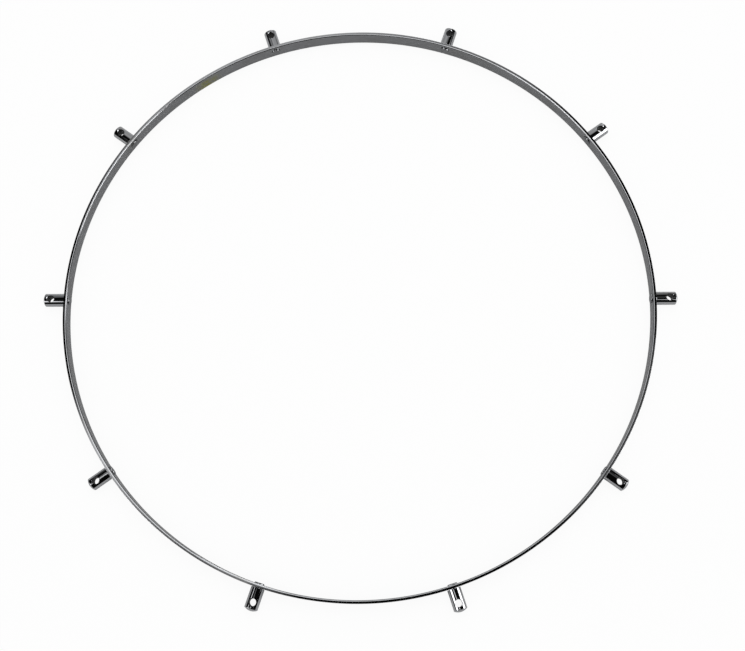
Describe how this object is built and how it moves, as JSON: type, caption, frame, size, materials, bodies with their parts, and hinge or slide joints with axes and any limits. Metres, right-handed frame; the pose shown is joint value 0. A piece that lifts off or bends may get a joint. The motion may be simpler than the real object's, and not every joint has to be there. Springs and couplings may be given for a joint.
{
  "type": "drum hoop",
  "caption": "Round drum tension hoop: a narrow flat-bar band with cross-drilled round posts standing out of it, each held by a screw from inside.",
  "frame": {"origin": "on the hoop's axis, in the plane of the band's lower edge", "axes": "+Z along the hoop's axis, from the lower edge to the upper edge; +X out through the middle of the first post"},
  "size_m": [0.624, 0.5944, 0.016],
  "materials": {
    "band_chrome": "bright chromium plate on rolled flat bar, polished, with faint lengthwise draw lines and light handling wear",
    "post_chrome": "mirror-bright chromium plate on turned bar",
    "screw_chrome": "bright plated screw with a smooth low head, slightly duller than the band"
  },
  "bodies": {
    "root": {"hoop_band": "band_chrome", "post_01": "post_chrome", "post_02": "post_chrome", "post_03": "post_chrome", "post_04": "post_chrome", "post_05": "post_chrome", "post_06": "post_chrome", "post_07": "post_chrome", "post_08": "post_chrome", "post_09": "post_chrome", "post_10": "post_chrome", "post_screw_01": "screw_chrome", "post_screw_02": "screw_chrome", "post_screw_03": "screw_chrome", "post_screw_04": "screw_chrome", "post_screw_05": "screw_chrome", "post_screw_06": "screw_chrome", "post_screw_07": "screw_chrome", "post_screw_08": "screw_chrome", "post_screw_09": "screw_chrome", "post_screw_10": "screw_chrome"}
  },
  "joints": []
}
